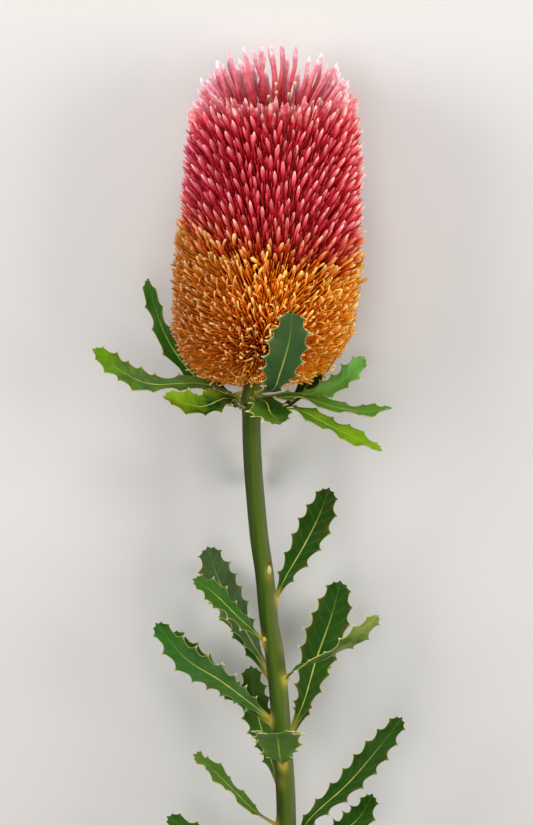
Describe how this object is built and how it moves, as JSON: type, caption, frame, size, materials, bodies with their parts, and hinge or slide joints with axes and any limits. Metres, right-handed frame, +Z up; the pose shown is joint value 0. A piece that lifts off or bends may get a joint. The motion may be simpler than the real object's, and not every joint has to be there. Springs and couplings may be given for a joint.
{
  "type": "banksia flower head on a leafy stem",
  "caption": "Cut banksia flower head, a dense cone of long florets in two colours, on a leafy stem with toothed leaves, lying on its side.",
  "frame": {"origin": "on the surface that the head rests on, at a pressed floret under the middle of the head", "axes": "+Y along the head towards its tip, +Z up from the surface, +X to the right seen from above"},
  "size_m": [0.1299, 0.347, 0.0903],
  "materials": {
    "bud_florets": "soft waxy bud tips on crimson shafts",
    "open_florets": "satin orange strands with pale yellow ends",
    "stem": "smooth green bark with a pale bloom",
    "leaves": "leathery green, paler midrib and margin"
  },
  "bodies": {
    "root": {"bud_florets": "bud_florets", "open_florets": "open_florets", "stem": "stem", "leaf_collar_left_back": "leaves", "leaf_collar_left": "leaves", "leaf_collar_left_front": "leaves", "leaf_collar_front": "leaves", "leaf_collar_low_front": "leaves", "leaf_collar_right": "leaves", "leaf_collar_right_low": "leaves", "leaf_collar_right_back": "leaves", "leaf_collar_under_left": "leaves", "leaf_collar_under_right": "leaves", "leaf_collar_under": "leaves", "leaf_stem_right_high": "leaves", "leaf_stem_left_back": "leaves", "leaf_stem_left_front": "leaves", "leaf_stem_right_broad": "leaves", "leaf_stem_right_twisted": "leaves", "leaf_stem_left_mid": "leaves", "leaf_stem_left_behind": "leaves", "leaf_stem_front": "leaves", "leaf_stem_left_low": "leaves", "leaf_stem_right_low": "leaves", "leaf_foot_right": "leaves", "leaf_foot_left": "leaves", "leaf_under_right": "leaves", "leaf_under_left": "leaves", "leaf_under_mid": "leaves"}
  },
  "joints": []
}
